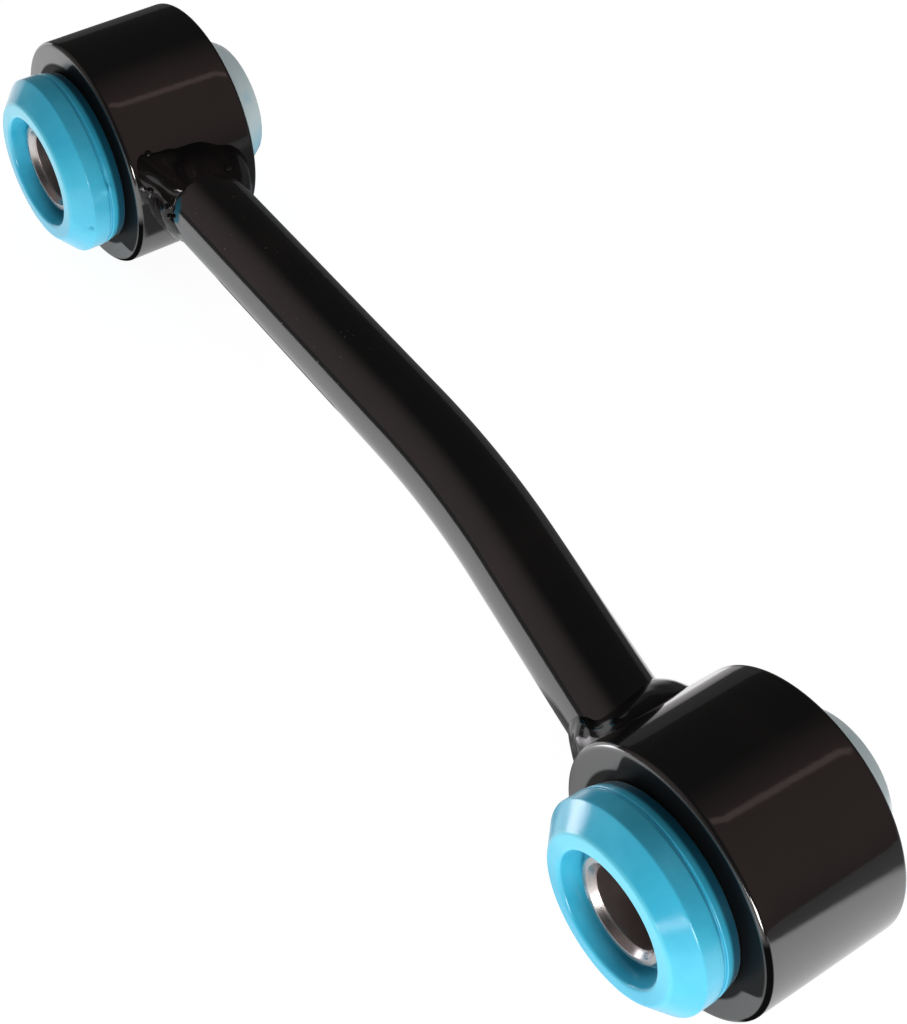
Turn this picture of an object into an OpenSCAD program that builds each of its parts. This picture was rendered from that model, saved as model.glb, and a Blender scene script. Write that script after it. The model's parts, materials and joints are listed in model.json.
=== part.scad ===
// Stabilizer link: a bent round bar welded between two eye tubes, each with a two-piece bush,
// flanged in front and lipped at the back, and a crush sleeve for the bolt.
// Frame: origin at the middle of the upper eye, +X towards the lower eye, +Y along the eye
// axes away from the front, +Z up with the link lying on its side.

/* [Link] */
// Distance between the two eye axes
centre_distance = 172; // [140:1:240]
// How far the lower eye stands in front of the upper one, along the eye axes
eye_offset = 8.5; // [4:0.5:14]

/* [Sleeves] */
// Bore of the crush sleeve, for a 12 mm bolt
sleeve_bore_d = 12.2; // [10.2:0.1:14.2]
// Wall thickness of the crush sleeve
sleeve_wall = 1.9; // [1.5:0.1:3]
// How far the front end of the sleeve lies below the nose of its bush
sleeve_recess = 2.3; // [0.5:0.1:3.5]
// Chamfer on the sleeve's outer edges
sleeve_edge = 0.4; // [0.2:0.05:0.6]
// Width of the chamfer that leads the bolt into the sleeve
sleeve_lead = 0.8; // [0.3:0.05:0.9]
// Depth of the chamfer that leads the bolt into the sleeve
sleeve_lead_depth = 1.1; // [0.5:0.1:2]

/* [Eyes] */
// Length of an eye tube
eye_len = 23.6; // [22:0.1:40]
// Wall thickness of an eye tube
eye_wall = 6.7; // [5:0.1:9]
// Chamfer on the eye's edges
eye_edge = 0.6; // [0.3:0.1:1]

/* [Bar] */
// Diameter of the bar
bar_d = 14.4; // [10:0.1:16]
// Length of the lower leg along X, from the corner of the bend to the eye's wall
lower_leg = 51; // [40:1:70]
// Radius of the bend at the bar's centre line
bend_r = 190; // [80:5:240]
// How far the bar's legs sit in front of the middle of the eyes
bar_shift = 0.6; // [0:0.1:1]

/* [Welds] */
// Leg of the upper weld along the bar
upper_bar_leg = 5.2; // [3:0.1:6]
// Leg of the upper weld on the eye
upper_eye_leg = 2.8; // [2:0.1:3.8]
// Leg of the lower weld along the bar
lower_bar_leg = 4.1; // [3:0.1:6]
// Leg of the lower weld on the eye
lower_eye_leg = 3.6; // [2:0.1:3.8]
// How far the bead's crown stands above a flat fillet
weld_crown = 0.4; // [0:0.05:0.8]
// Height of the ripples along the bead
weld_ripple = 0.16; // [0:0.02:0.4]
// Number of ripples round the bar
weld_ripples = 18; // [10:1:28]
// How much the bead's leg along the bar swells and thins on its way round
weld_swell = 0.35; // [0:0.05:0.6]

/* [Bushes] */
// Wall of the bush between the sleeve and the eye
bush_wall = 5.5; // [4:0.25:8]
// How far the foot of the head laps over the end face of the eye
head_lap = 1.5; // [1:0.1:2.5]
// How much the head widens from its foot to its land
head_flare = 0.7; // [0:0.1:1.5]
// Height of the foot band, between the eye and the groove
foot_h = 2.6; // [1.5:0.1:5]
// Width of the groove round the head
groove_w = 0.6; // [0.4:0.1:1]
// Depth of the groove round the head
groove_depth = 0.45; // [0.2:0.05:0.8]
// Height of the land, between the groove and the cone
land_h = 3; // [1.5:0.1:5]
// Height of the cone, between the land and the nose
cone_h = 2.4; // [1.5:0.1:5]
// Radius of the nose's rounded outer edge
nose_round = 0.8; // [0.4:0.1:1.2]
// Width of the nose ring, from the mouth of the counterbore outwards
nose_w = 2.4; // [1.8:0.1:2.8]
// Radius of the rounded lip at the mouth of the counterbore
lip_round = 0.5; // [0.2:0.1:0.8]
// Depth of the counterbore below the nose
counterbore_depth = 4; // [1.5:0.1:6]
// Gap between the sleeve and the counterbore's wall at its floor
counterbore_gap = 1.2; // [0.6:0.1:1.6]
// How much the counterbore widens from its floor to its mouth
counterbore_flare = 0.7; // [0:0.1:1]
// Chamfer that leads the shank into the eye
shank_lead = 0.8; // [0.3:0.1:1.5]
// How far the lip of the back half laps over the end face of the eye
back_lap = 0.8; // [0.6:0.1:1.5]
// Height of the lip of the back half
back_lip_h = 1.4; // [0.8:0.1:3]
// Width of the nose ring of the back half, from its bore outwards
back_nose_w = 2.2; // [2:0.1:3.5]
// How far the nose of the back half stands beyond the end of the sleeve
back_proud = 0.15; // [0.1:0.05:1]

/* [Fits] */
// Radial running clearance between the sleeve and the bush
sleeve_clearance = 0.05; // [0.02:0.01:0.1]
// Radial clearance between the bush shank and the eye
bush_clearance = 0.05; // [0.02:0.01:0.1]
// Gap between the inner ends of the two bush halves
bush_gap = 0.5; // [0.1:0.1:2]

/* [Hidden] */
$fn = 96;

paint_black = [0.07, 0.065, 0.065];
bush_blue = [0.22, 0.66, 0.79];
sleeve_steel = [0.72, 0.71, 0.70];

// Radii, from the bolt outwards
sleeve_bore_r = sleeve_bore_d / 2;
sleeve_r = sleeve_bore_r + sleeve_wall;
eye_bore_r = sleeve_r + bush_wall;
eye_r = eye_bore_r + eye_wall;
bar_r = bar_d / 2;

// Bush profile
bush_bore_r = sleeve_r + sleeve_clearance;
shank_r = eye_bore_r - bush_clearance;
shank_len = (eye_len - bush_gap) / 2;
foot_r = eye_bore_r + head_lap;
land_r = foot_r + head_flare;
head_h = foot_h + groove_w + land_h + cone_h + nose_round;
floor_r = sleeve_r + counterbore_gap;
mouth_r = floor_r + counterbore_flare;
nose_r = mouth_r + nose_w;
land_edge = 0.25;
groove_edge = 0.15;
arc_steps = 6;

sleeve_len = eye_len + 2 * (head_h - sleeve_recess);
back_lip_r = eye_bore_r + back_lap;
back_nose_r = bush_bore_r + back_nose_w;
back_head_h = (sleeve_len - eye_len) / 2 + back_proud;

// Eye centres and the path of the bar in the plane of the eye axes
upper_at = [0, 0, 0];
lower_at = [centre_distance, -eye_offset, 0];
bend_angle = atan2(eye_offset, lower_leg);
bend_x = centre_distance - eye_r - lower_leg;
bend_tangent = bend_r * tan(bend_angle / 2);
arc_start = [bend_x - bend_tangent, -bar_shift, 0];
arc_centre = arc_start - [0, bend_r, 0];
arc_end = arc_centre + bend_r * [sin(bend_angle), cos(bend_angle), 0];
lower_run = (centre_distance - arc_end.x) / cos(bend_angle);

// The bar thins a little where it is bent, and the bent stretch runs on inside the legs
bend_thinning = 0.03;
bend_lap = 1;
lap_angle = bend_lap / bend_r * 180 / PI;

// Weld bead: stations round the bar, points across the bead and under it, the thickness of its
// toes and the clearance that keeps it off the bar and the eye
weld_stations = 4 * weld_ripples;
weld_points = 5;
weld_under = 3;
weld_toe = 0.15;
weld_fit = 0.03;

// Points of a quarter round, from the angle from to the angle to
function arc(centre, r, from, to) =
    [for (i = [0:arc_steps]) let (t = from + (to - from) * i / arc_steps) centre + r * [cos(t), sin(t)]];

// Section of the shank that both bush halves share, radius and height above the end face of the eye
shank_section = [[bush_bore_r, -shank_len], [shank_r - shank_lead, -shank_len],
                 [shank_r, shank_lead - shank_len], [shank_r, 0]];

// Section of the front half: foot, groove, land, cone, nose ring and counterbore
front_section = concat(
    shank_section,
    [[foot_r, 0],
     [land_r - groove_edge, foot_h],
     [land_r - groove_depth, foot_h + groove_edge],
     [land_r - groove_depth, foot_h + groove_w - groove_edge],
     [land_r, foot_h + groove_w],
     [land_r, foot_h + groove_w + land_h - land_edge],
     [land_r - land_edge, foot_h + groove_w + land_h]],
    arc([nose_r - nose_round, head_h - nose_round], nose_round, 30, 90),
    arc([mouth_r + lip_round, head_h - lip_round], lip_round, 90, 180),
    [[floor_r, head_h - counterbore_depth], [bush_bore_r, head_h - counterbore_depth]]);

// Section of the back half: a low lip and a cone that let it be pushed through the eye
back_section = concat(
    shank_section,
    [[back_lip_r, 0],
     [back_lip_r, back_lip_h - land_edge],
     [back_lip_r - land_edge, back_lip_h]],
    arc([back_nose_r - nose_round, back_head_h - nose_round], nose_round, 30, 90),
    arc([bush_bore_r + lip_round, back_head_h - lip_round], lip_round, 90, 180));

// A tube with chamfered ends, its axis along Y; lead and lead_depth are the chamfer of its bore
module chamfered_tube(inner_r, outer_r, length, edge, lead, lead_depth) {
    half = length / 2;
    rotate([90, 0, 0])
        rotate_extrude()
            polygon([[inner_r, lead_depth - half], [inner_r + lead, -half], [outer_r - edge, -half],
                     [outer_r, edge - half], [outer_r, half - edge], [outer_r - edge, half],
                     [inner_r + lead, half], [inner_r, half - lead_depth]]);
}

// The full round of an eye, long enough to cut whatever meets it
module eye_round() {
    rotate([90, 0, 0]) cylinder(h = 2 * eye_len, r = eye_r, center = true);
}

// One leg of the bar, from a point along a direction in the plane of the eye axes
module bar_leg(start, turn, length) {
    translate(start) rotate([0, 0, turn]) rotate([0, 90, 0]) cylinder(h = length, r = bar_r);
}

module link_bar() {
    color(paint_black) difference() {
        union() {
            bar_leg([0, -bar_shift, 0], 0, arc_start.x);
            translate(arc_centre) rotate([0, 0, 90 - bend_angle - lap_angle])
                rotate_extrude(angle = bend_angle + 2 * lap_angle)
                    translate([bend_r, 0]) circle(r = bar_r - bend_thinning);
            bar_leg(arc_end, -bend_angle, lower_run);
        }
        translate(upper_at) eye_round();
        translate(lower_at) eye_round();
    }
}

module eye_tube(at) {
    color(paint_black) translate(at)
        chamfered_tube(eye_bore_r, eye_r, eye_len, eye_edge, eye_edge, eye_edge);
}

module upper_eye() { eye_tube(upper_at); }
module lower_eye() { eye_tube(lower_at); }

// Point of the bead in the eye's own frame, with the bar leaving along +X turned by tilt about Z.
// across is the distance from the bar's axis, along the distance above the eye's wall.
function bead_point(side, tilt, turn, across, along) =
    let (z = across * sin(turn),
         wall_x = sqrt(eye_r * eye_r - z * z),
         run = (wall_x - eye_r + across * cos(turn) * sin(tilt)) / cos(tilt) + along)
    [eye_r + run * cos(tilt) - across * cos(turn) * sin(tilt),
     side + run * sin(tilt) + across * cos(turn) * cos(tilt),
     z];

// Legs of the bead at one station, on the bar and on the eye: the ripples and the swell change
// them, and the end faces of the eye limit the second
function bead_legs(side, tilt, legs, turn) =
    let (room = (eye_len / 2 - abs(side)) * cos(tilt) / max(abs(cos(turn)), 0.1) - bar_r,
         ripple = weld_ripple * cos(weld_ripples * turn))
    [legs[0] + ripple + weld_swell * sin(3 * turn), min(legs[1] + ripple, room)];

// Bead section at one station: over the bead from the bar's toe to the eye's toe, and back under it
function bead_section(side, tilt, legs, turn) =
    let (at = bead_legs(side, tilt, legs, turn),
         crown = weld_crown + weld_ripple * cos(weld_ripples * turn))
    concat(
        [bead_point(side, tilt, turn, bar_r + weld_fit, at[0])],
        [for (i = [0:weld_points])
            let (t = i / weld_points, rise = crown * sin(180 * t) / sqrt(2))
            bead_point(side, tilt, turn,
                       bar_r + max(weld_toe, at[1] * t + rise), max(weld_toe, at[0] * (1 - t) + rise))],
        [for (i = [0:weld_under])
            bead_point(side, tilt, turn, bar_r + at[1] + (weld_fit - at[1]) * i / weld_under, weld_fit)]);

// Fillet weld round the bar where it meets the eye: a rippled bead along the saddle line of the
// two rounds; legs holds its legs on the bar and on the eye
module weld_bead(side, tilt, legs) {
    rings = [for (i = [0:weld_stations - 1]) bead_section(side, tilt, legs, 360 * i / weld_stations)];
    n = len(rings[0]);
    points = [for (ring = rings) each ring];
    faces = [for (i = [0:weld_stations - 1], k = [0:n - 1])
        let (a = i * n, b = (i + 1) % weld_stations * n, next = (k + 1) % n)
        each [[a + k, b + k, b + next], [a + k, b + next, a + next]]];
    polyhedron(points, faces, convexity = 6);
}

module upper_weld() {
    color(paint_black) translate(upper_at) weld_bead(-bar_shift, 0, [upper_bar_leg, upper_eye_leg]);
}

module lower_weld() {
    color(paint_black) translate(lower_at) rotate([0, 0, 180])
        weld_bead(bar_shift, -bend_angle, [lower_bar_leg, lower_eye_leg]);
}

// One bush half turned from its section; facing is 1 for the front of the link and -1 for the back
module bush_half(at, facing, section) {
    color(bush_blue) translate(at - [0, facing * eye_len / 2, 0]) rotate([facing * 90, 0, 0])
        rotate_extrude() polygon(section);
}

module upper_bush_front() { bush_half(upper_at, 1, front_section); }
module upper_bush_back() { bush_half(upper_at, -1, back_section); }
module lower_bush_front() { bush_half(lower_at, 1, front_section); }
module lower_bush_back() { bush_half(lower_at, -1, back_section); }

module crush_sleeve(at) {
    color(sleeve_steel) translate(at)
        chamfered_tube(sleeve_bore_r, sleeve_r, sleeve_len, sleeve_edge, sleeve_lead, sleeve_lead_depth);
}

module upper_sleeve() { crush_sleeve(upper_at); }
module lower_sleeve() { crush_sleeve(lower_at); }

link_bar();
upper_eye();
lower_eye();
upper_weld();
lower_weld();
upper_bush_front();
upper_bush_back();
lower_bush_front();
lower_bush_back();
upper_sleeve();
lower_sleeve();
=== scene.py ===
"""Looks of a welded stabilizer link: gloss black bar and eyes, blue flanged bushes, turned steel sleeves."""
import json
import logging
import math
from dataclasses import dataclass
from enum import Enum
from typing import Any, Union

import bmesh
import bpy
from mathutils import Matrix, Vector


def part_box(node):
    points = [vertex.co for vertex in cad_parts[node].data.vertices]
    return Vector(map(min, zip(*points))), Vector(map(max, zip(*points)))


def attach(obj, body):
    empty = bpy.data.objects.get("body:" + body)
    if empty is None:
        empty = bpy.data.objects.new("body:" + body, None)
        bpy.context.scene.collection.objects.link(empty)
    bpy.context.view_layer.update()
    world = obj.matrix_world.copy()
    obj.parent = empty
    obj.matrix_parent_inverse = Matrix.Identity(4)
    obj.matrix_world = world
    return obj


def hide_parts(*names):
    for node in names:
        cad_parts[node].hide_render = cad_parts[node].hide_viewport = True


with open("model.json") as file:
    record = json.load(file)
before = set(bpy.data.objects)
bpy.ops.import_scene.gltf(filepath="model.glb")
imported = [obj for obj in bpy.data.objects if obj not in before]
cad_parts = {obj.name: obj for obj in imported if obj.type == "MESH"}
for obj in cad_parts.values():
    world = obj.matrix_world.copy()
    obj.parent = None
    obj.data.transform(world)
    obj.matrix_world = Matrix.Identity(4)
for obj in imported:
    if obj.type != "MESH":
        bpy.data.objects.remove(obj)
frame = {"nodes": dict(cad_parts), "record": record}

LOG = logging.getLogger("stabilizer_link")
MM = 0.001
Number = Union["Sock", float]
Colour = tuple[float, float, float]
Point = tuple[float, float, float]
Span = tuple[float, float]
Outline = tuple[tuple[float, float], ...]


class Slot(Enum):
    """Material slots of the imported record."""

    BLACK_PAINT = "black_paint"
    BLUE_BUSH = "blue_bush"
    SLEEVE_STEEL = "sleeve_steel"


class Body(Enum):
    """Bodies that the pieces ride on."""

    LINK = "link"
    UPPER_PIVOT = "upper_pivot"
    LOWER_PIVOT = "lower_pivot"


class Facing(Enum):
    """Which way a bush half looks along the eye's axis."""

    FRONT = -1.0
    BACK = 1.0


class Heading(Enum):
    """Which way the bar leaves an eye along X."""

    TO_LOWER = 1.0
    TO_UPPER = -1.0


class Sock:
    """An output socket whose arithmetic adds Math nodes to its tree."""

    def __init__(self, tree: "Tree", socket: bpy.types.NodeSocket) -> None:
        """Keep the socket and the tree that it belongs to."""
        self.tree = tree
        self.socket = socket

    def __add__(self, other: Number) -> "Sock":
        """Sum."""
        return self.tree.math("ADD", self, other)

    def __sub__(self, other: Number) -> "Sock":
        """Difference."""
        return self.tree.math("SUBTRACT", self, other)

    def __rsub__(self, other: Number) -> "Sock":
        """Difference from a number."""
        return self.tree.math("SUBTRACT", other, self)

    def __mul__(self, other: Number) -> "Sock":
        """Product."""
        return self.tree.math("MULTIPLY", self, other)

    def __truediv__(self, other: Number) -> "Sock":
        """Quotient."""
        return self.tree.math("DIVIDE", self, other)

    __radd__ = __add__
    __rmul__ = __mul__

    def sin(self) -> "Sock":
        """Sine of an angle in radians."""
        return self.tree.math("SINE", self)

    def cos(self) -> "Sock":
        """Cosine of an angle in radians."""
        return self.tree.math("COSINE", self)

    def sqrt(self) -> "Sock":
        """Square root."""
        return self.tree.math("SQRT", self)

    def size(self) -> "Sock":
        """Absolute value."""
        return self.tree.math("ABSOLUTE", self)

    def at_least(self, other: Number) -> "Sock":
        """The larger of the two."""
        return self.tree.math("MAXIMUM", self, other)

    def at_most(self, other: Number) -> "Sock":
        """The smaller of the two."""
        return self.tree.math("MINIMUM", self, other)

    def below(self, other: Number) -> "Sock":
        """1 where it is below the other, else 0."""
        return self.tree.math("LESS_THAN", self, other)

    def step(self, low: float, high: float) -> "Sock":
        """0 up to low and 1 from high, with a smooth rise between."""
        inputs = {"Value": self, "From Min": low, "From Max": high}
        return self.tree.node("ShaderNodeMapRange", {"interpolation_type": "SMOOTHSTEP"}, inputs)["Result"]

    def within(self, low: float, high: float, soft: float) -> "Sock":
        """1 between low and high, with soft edges."""
        return self.step(low - soft, low + soft) * (1.0 - self.step(high - soft, high + soft))

    def parts(self) -> tuple["Sock", "Sock", "Sock"]:
        """X, Y and Z of a vector."""
        made = self.tree.node("ShaderNodeSeparateXYZ", {}, {0: self})
        return made["X"], made["Y"], made["Z"]


class Made:
    """A node whose outputs are read by name or number."""

    def __init__(self, tree: "Tree", node: bpy.types.Node) -> None:
        """Keep the node and its tree."""
        self.tree = tree
        self.node = node

    def __getitem__(self, output: Union[str, int]) -> Sock:
        """One output socket."""
        return Sock(self.tree, self.node.outputs[output])


class Tree:
    """A node tree that is written as expressions."""

    def __init__(self, graph: bpy.types.NodeTree) -> None:
        """Keep the graph that the nodes are added to."""
        self.graph = graph

    def node(self, kind: str, settings: dict[str, Any], inputs: dict[Union[str, int], Any]) -> Made:
        """Add one node.

        Args:
            kind: The node's type.
            settings: Its properties, which are set first; points holds a curve's points.
            inputs: Values or links of its input sockets, by name or number.

        Returns:
            The node, with its outputs by name or number.
        """
        made = self.graph.nodes.new(kind)
        for name, value in settings.items():
            if name == "points":
                points = made.mapping.curves[0].points
                for place in value[1:-1]:
                    points.new(*place)
                for point, place in zip(points, value):
                    point.location = place
                    point.handle_type = "AUTO_CLAMPED"
                made.mapping.update()
            else:
                setattr(made, name, value)
        for key, value in inputs.items():
            if isinstance(value, Sock):
                self.graph.links.new(value.socket, made.inputs[key])
            else:
                made.inputs[key].default_value = value
        return Made(self, made)

    def math(self, operation: str, *values: Number) -> Sock:
        """Add a Math node.

        Args:
            operation: The Math node's operation.
            *values: Its one or two inputs.

        Returns:
            The result.
        """
        return self.node("ShaderNodeMath", {"operation": operation}, dict(enumerate(values)))["Value"]

    def vector(self, x: Number, y: Number, z: Number) -> Sock:
        """A vector from its three parts."""
        return self.node("ShaderNodeCombineXYZ", {}, {"X": x, "Y": y, "Z": z})["Vector"]

    def noise(self, place: Sock, scale: float, detail: float = 2.0) -> Sock:
        """Smooth noise from about 0 to 1.

        Args:
            place: Where it is read, as a vector.
            scale: Waves per unit of length.
            detail: How many finer layers it has.

        Returns:
            The noise.
        """
        inputs = {"Vector": place, "Scale": scale, "Detail": detail}
        return self.node("ShaderNodeTexNoise", {}, inputs)["Fac"]

    def mix(self, factor: Number, low: Union[Sock, Colour], high: Union[Sock, Colour]) -> Sock:
        """Blend two colours.

        Args:
            factor: 0 for the low colour and 1 for the high one.
            low: First colour.
            high: Second colour.

        Returns:
            The blended colour.
        """
        full = [c if isinstance(c, Sock) else (*c, 1.0) for c in (low, high)]
        return self.node("ShaderNodeMix", {"data_type": "RGBA"}, {0: factor, 6: full[0], 7: full[1]})[2]


class SurfaceTree(Tree):
    """The nodes of one material."""

    def __init__(self, name: str) -> None:
        """Make an empty material.

        Args:
            name: Name of the material.
        """
        self.material = bpy.data.materials.new(name)
        self.material.use_nodes = True
        super().__init__(self.material.node_tree)
        self.graph.nodes.clear()

    def place(self, centre: Point = (0.0, 0.0, 0.0)) -> Sock:
        """Object coordinates measured from a centre.

        Args:
            centre: Where they are 0, in metres.

        Returns:
            The coordinates as a vector, in metres.
        """
        raw = self.node("ShaderNodeTexCoord", {}, {})["Object"]
        shift = tuple(-c for c in centre)
        return self.node("ShaderNodeMapping", {}, {"Vector": raw, "Location": shift})["Vector"]

    def bump(self, height: Sock, depth: float, strength: float = 1.0) -> Sock:
        """A normal that follows a height.

        Args:
            height: Height from 0 to 1.
            depth: What a height of 1 stands for, in metres.
            strength: How much of it shows.

        Returns:
            The normal.
        """
        inputs = {"Height": height, "Distance": depth, "Strength": strength}
        return self.node("ShaderNodeBump", {}, inputs)["Normal"]

    def finish(self, shader: Made) -> bpy.types.Material:
        """Send a shader to the material's output."""
        self.node("ShaderNodeOutputMaterial", {}, {"Surface": shader[0]})
        return self.material


class ShapeTree(Tree):
    """A Geometry Nodes tree with named sizes, which is baked to a plain mesh."""

    def __init__(self, name: str, sizes: dict[str, float], material: bpy.types.Material) -> None:
        """Make the tree.

        Args:
            name: Name of the tree.
            sizes: Named sizes, in metres, radians or counts.
            material: What its surface is dressed in.
        """
        graph = bpy.data.node_groups.new(name, "GeometryNodeTree")
        graph.interface.new_socket("Geometry", in_out="OUTPUT", socket_type="NodeSocketGeometry")
        for size in sizes:
            graph.interface.new_socket(size, in_out="INPUT", socket_type="NodeSocketFloat")
        super().__init__(graph)
        self.name = name
        self.sizes = sizes
        self.material = material
        self.group = self.node("NodeGroupInput", {}, {})

    def __getitem__(self, size: str) -> Sock:
        """One of the tree's named sizes."""
        return self.group[size]

    def bake(self, shape: Sock) -> bpy.types.Object:
        """Close the tree and turn its result into a plain mesh object.

        Args:
            shape: The geometry that the tree ends in.

        Returns:
            A mesh object at the origin, with no modifier.
        """
        real = self.node("GeometryNodeRealizeInstances", {}, {"Geometry": shape})["Geometry"]
        smooth = self.node("GeometryNodeSetShadeSmooth", {}, {"Geometry": real})["Geometry"]
        dressed = self.node("GeometryNodeSetMaterial", {}, {"Geometry": smooth, "Material": self.material})
        self.node("NodeGroupOutput", {}, {"Geometry": dressed["Geometry"]})
        carrier = bpy.data.objects.new(self.name, bpy.data.meshes.new(self.name))
        bpy.context.scene.collection.objects.link(carrier)
        modifier = carrier.modifiers.new("shape", "NODES")
        modifier.node_group = self.graph
        for item in self.graph.interface.items_tree:
            if item.in_out == "INPUT":
                modifier[item.identifier] = self.sizes[item.name]
        bpy.context.view_layer.update()
        evaluated = carrier.evaluated_get(bpy.context.evaluated_depsgraph_get())
        mesh = bpy.data.meshes.new_from_object(evaluated)
        carrier.modifiers.remove(modifier)
        carrier.data = mesh
        face_outwards(mesh)
        return carrier


def face_outwards(mesh: bpy.types.Mesh) -> None:
    """Turn every face of a closed mesh outwards and shade it smooth.

    Args:
        mesh: The mesh, which is changed in place.
    """
    work = bmesh.new()
    work.from_mesh(mesh)
    bmesh.ops.recalc_face_normals(work, faces=work.faces)
    for face in work.faces:
        face.smooth = True
    work.to_mesh(mesh)
    work.free()


@dataclass(frozen=True)
class Corner:
    """One corner of a turned section: radius and height in metres, and its rounding."""

    radius: float
    height: float
    rounding: float

    def at(self) -> Vector:
        """Its place in the section."""
        return Vector((self.radius, self.height))


def rounded_section(corners: list[Corner], steps: int, spacing: float) -> list[Vector]:
    """A closed section with round corners.

    Args:
        corners: Its corners in order.
        steps: Points on each rounded corner.
        spacing: Longest stretch without a point, in metres.

    Returns:
        The section's points, as radius and height.
    """
    points: list[Vector] = []
    for i, corner in enumerate(corners):
        here = corner.at()
        back = (corners[i - 1].at() - here).normalized()
        ahead = (corners[(i + 1) % len(corners)].at() - here).normalized()
        half = math.acos(max(-1.0, min(1.0, back.dot(ahead)))) / 2
        reach = corner.rounding / math.tan(half)
        centre = here + (back + ahead).normalized() * corner.rounding / math.sin(half)
        start, end = here + back * reach - centre, here + ahead * reach - centre
        sweep = start.angle_signed(end)
        for k in range(steps + 1):
            points.append(centre + Matrix.Rotation(-sweep * k / steps, 2) @ start)
    dense: list[Vector] = []
    for i, point in enumerate(points):
        following = points[(i + 1) % len(points)]
        pieces = max(1, math.ceil((following - point).length / spacing))
        dense.extend(point.lerp(following, k / pieces) for k in range(pieces))
    return dense


def turned(name: str, section: list[Vector], centre: Vector, segments: int) -> bpy.types.Object:
    """A closed ring turned from a section about an axis along Y.

    Args:
        name: Name of the piece.
        section: Radius and height along Y of each point, in order.
        centre: Where the axis is, and where height 0 lies.
        segments: Facets round the axis.

    Returns:
        A mesh object at the origin.
    """
    count = len(section)
    vertices = []
    for i in range(segments):
        turn = math.tau * i / segments
        spoke = Vector((math.cos(turn), 0.0, math.sin(turn)))
        vertices.extend(centre + spoke * p.x + Vector((0.0, p.y, 0.0)) for p in section)
    faces = []
    for i in range(segments):
        a, b = i * count, (i + 1) % segments * count
        faces.extend((a + k, a + (k + 1) % count, b + (k + 1) % count, b + k) for k in range(count))
    mesh = bpy.data.meshes.new(name)
    mesh.from_pydata(vertices, [], faces)
    face_outwards(mesh)
    piece = bpy.data.objects.new(name, mesh)
    bpy.context.scene.collection.objects.link(piece)
    return piece


def hand_over(piece: bpy.types.Object, node: str, body: Body) -> None:
    """Let a finished piece stand for its CAD node.

    Args:
        piece: The finished mesh.
        node: The CAD node that it replaces.
        body: The body that it rides on.
    """
    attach(piece, body.value)
    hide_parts(node)
    LOG.info("%s: %d faces, on %s", piece.name, len(piece.data.polygons), body.value)


@dataclass(frozen=True)
class GlossPaint:
    """Gloss black paint: a thick dark coat with faint orange peel, mottling and a few dust specks."""

    black: Colour = (0.0036, 0.0033, 0.0033)
    mottle: Colour = (0.0075, 0.0058, 0.0055)
    dust_colour: Colour = (0.05, 0.048, 0.045)
    roughness: float = 0.055
    index: float = 2.0
    peel_depth: float = 0.004 * MM
    mottle_scale: float = 70.0
    mottle_rise: Span = (0.4, 0.75)
    cloud_scale: float = 210.0
    speck_scale: float = 1500.0
    speck_rise: Span = (0.79, 0.83)
    patch_scale: float = 45.0
    patch_rise: Span = (0.4, 0.6)
    peel_scale: float = 950.0
    dusty: Span = (25.0 * MM, 75.0 * MM)
    dusty_soft: float = 5.0 * MM
    dust_roughness: float = 0.3
    cloud_roughness: float = 0.05

    def shader(self, tree: SurfaceTree, duller: Number) -> Made:
        """The paint's shader.

        Args:
            tree: The material's tree.
            duller: What is added to its roughness.

        Returns:
            The shader.
        """
        place = tree.place()
        run, _, _ = place.parts()
        mottle = tree.noise(place, self.mottle_scale, 4.0).step(*self.mottle_rise)
        cloud = tree.noise(place, self.cloud_scale, 3.0)
        specks = tree.noise(place, self.speck_scale, 0.0).step(*self.speck_rise)
        patches = tree.noise(place, self.patch_scale, 1.0).step(*self.patch_rise)
        dust = specks * patches * run.within(*self.dusty, self.dusty_soft)
        peel = tree.noise(place, self.peel_scale, 1.0)
        roughness = self.roughness + cloud * self.cloud_roughness + dust * self.dust_roughness + duller
        return tree.node("ShaderNodeBsdfPrincipled", {}, {
            "Base Color": tree.mix(dust, tree.mix(mottle, self.black, self.mottle), self.dust_colour),
            "Roughness": roughness,
            "IOR": self.index,
            "Normal": tree.bump(peel, self.peel_depth),
        })

    def material(self, name: str) -> bpy.types.Material:
        """The paint as a material of that name."""
        tree = SurfaceTree(name)
        return tree.finish(self.shader(tree, 0.0))


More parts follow.
